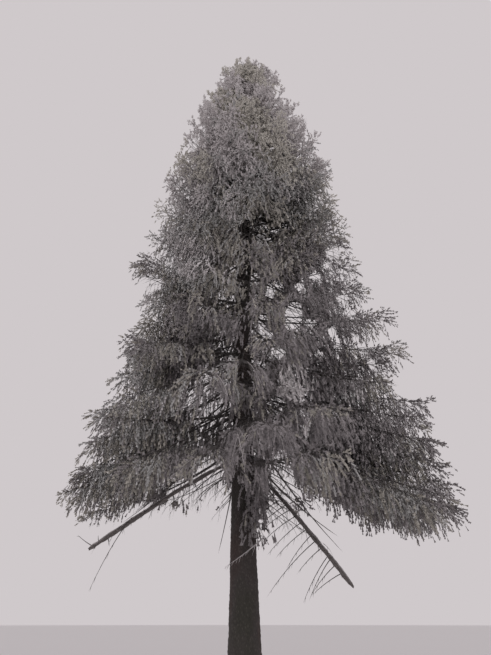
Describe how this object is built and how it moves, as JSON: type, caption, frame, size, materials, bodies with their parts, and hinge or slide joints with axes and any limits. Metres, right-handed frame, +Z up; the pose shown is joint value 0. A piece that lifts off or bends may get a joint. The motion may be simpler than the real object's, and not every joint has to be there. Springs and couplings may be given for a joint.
{
  "type": "norway spruce tree",
  "caption": "Standing conifer with one straight tapering trunk, drooping lower boughs, rising upper boughs, masses of frosted needles and bare dead limbs under the crown.",
  "frame": {"origin": "middle of the flat cut under the trunk, at ground level", "axes": "+Z up along the trunk, -Y towards the pictured side, +X to the right of it"},
  "size_m": [6.4799, 6.4738, 20],
  "materials": {
    "trunk_bark": "matte",
    "bough_bark": "matte",
    "needles": "matte",
    "dead_wood": "matte"
  },
  "bodies": {
    "root": {"trunk": "trunk_bark", "bough_tier1_1": "bough_bark", "foliage_tier1_1": "needles", "bough_tier1_2": "bough_bark", "foliage_tier1_2": "needles", "bough_tier1_3": "bough_bark", "foliage_tier1_3": "needles", "bough_tier1_4": "bough_bark", "foliage_tier1_4": "needles", "bough_tier1_5": "bough_bark", "foliage_tier1_5": "needles", "bough_tier2_1": "bough_bark", "foliage_tier2_1": "needles", "bough_tier2_2": "bough_bark", "foliage_tier2_2": "needles", "bough_tier2_3": "bough_bark", "foliage_tier2_3": "needles", "bough_tier2_4": "bough_bark", "foliage_tier2_4": "needles", "bough_tier2_5": "bough_bark", "foliage_tier2_5": "needles", "bough_tier3_1": "bough_bark", "foliage_tier3_1": "needles", "bough_tier3_2": "bough_bark", "foliage_tier3_2": "needles", "bough_tier3_3": "bough_bark", "foliage_tier3_3": "needles", "bough_tier3_4": "bough_bark", "foliage_tier3_4": "needles", "bough_tier3_5": "bough_bark", "foliage_tier3_5": "needles", "foliage_tier4_1": "needles", "foliage_tier4_2": "needles", "foliage_tier4_3": "needles", "foliage_tier4_4": "needles", "foliage_tier4_5": "needles", "foliage_tier5_1": "needles", "foliage_tier5_2": "needles", "foliage_tier5_3": "needles", "foliage_tier5_4": "needles", "foliage_tier5_5": "needles", "foliage_tier6_1": "needles", "foliage_tier6_2": "needles", "foliage_tier6_3": "needles", "foliage_tier6_4": "needles", "foliage_tier7_1": "needles", "foliage_tier7_2": "needles", "foliage_tier7_3": "needles", "foliage_tier7_4": "needles", "foliage_tier8_1": "needles", "foliage_tier8_2": "needles", "foliage_tier8_3": "needles", "foliage_tier9_1": "needles", "foliage_tier9_2": "needles", "foliage_tier9_3": "needles", "foliage_tier10_1": "needles", "foliage_tier10_2": "needles", "foliage_tier10_3": "needles", "dead_limb_left": "dead_wood", "dead_limb_right": "dead_wood"}
  },
  "joints": []
}
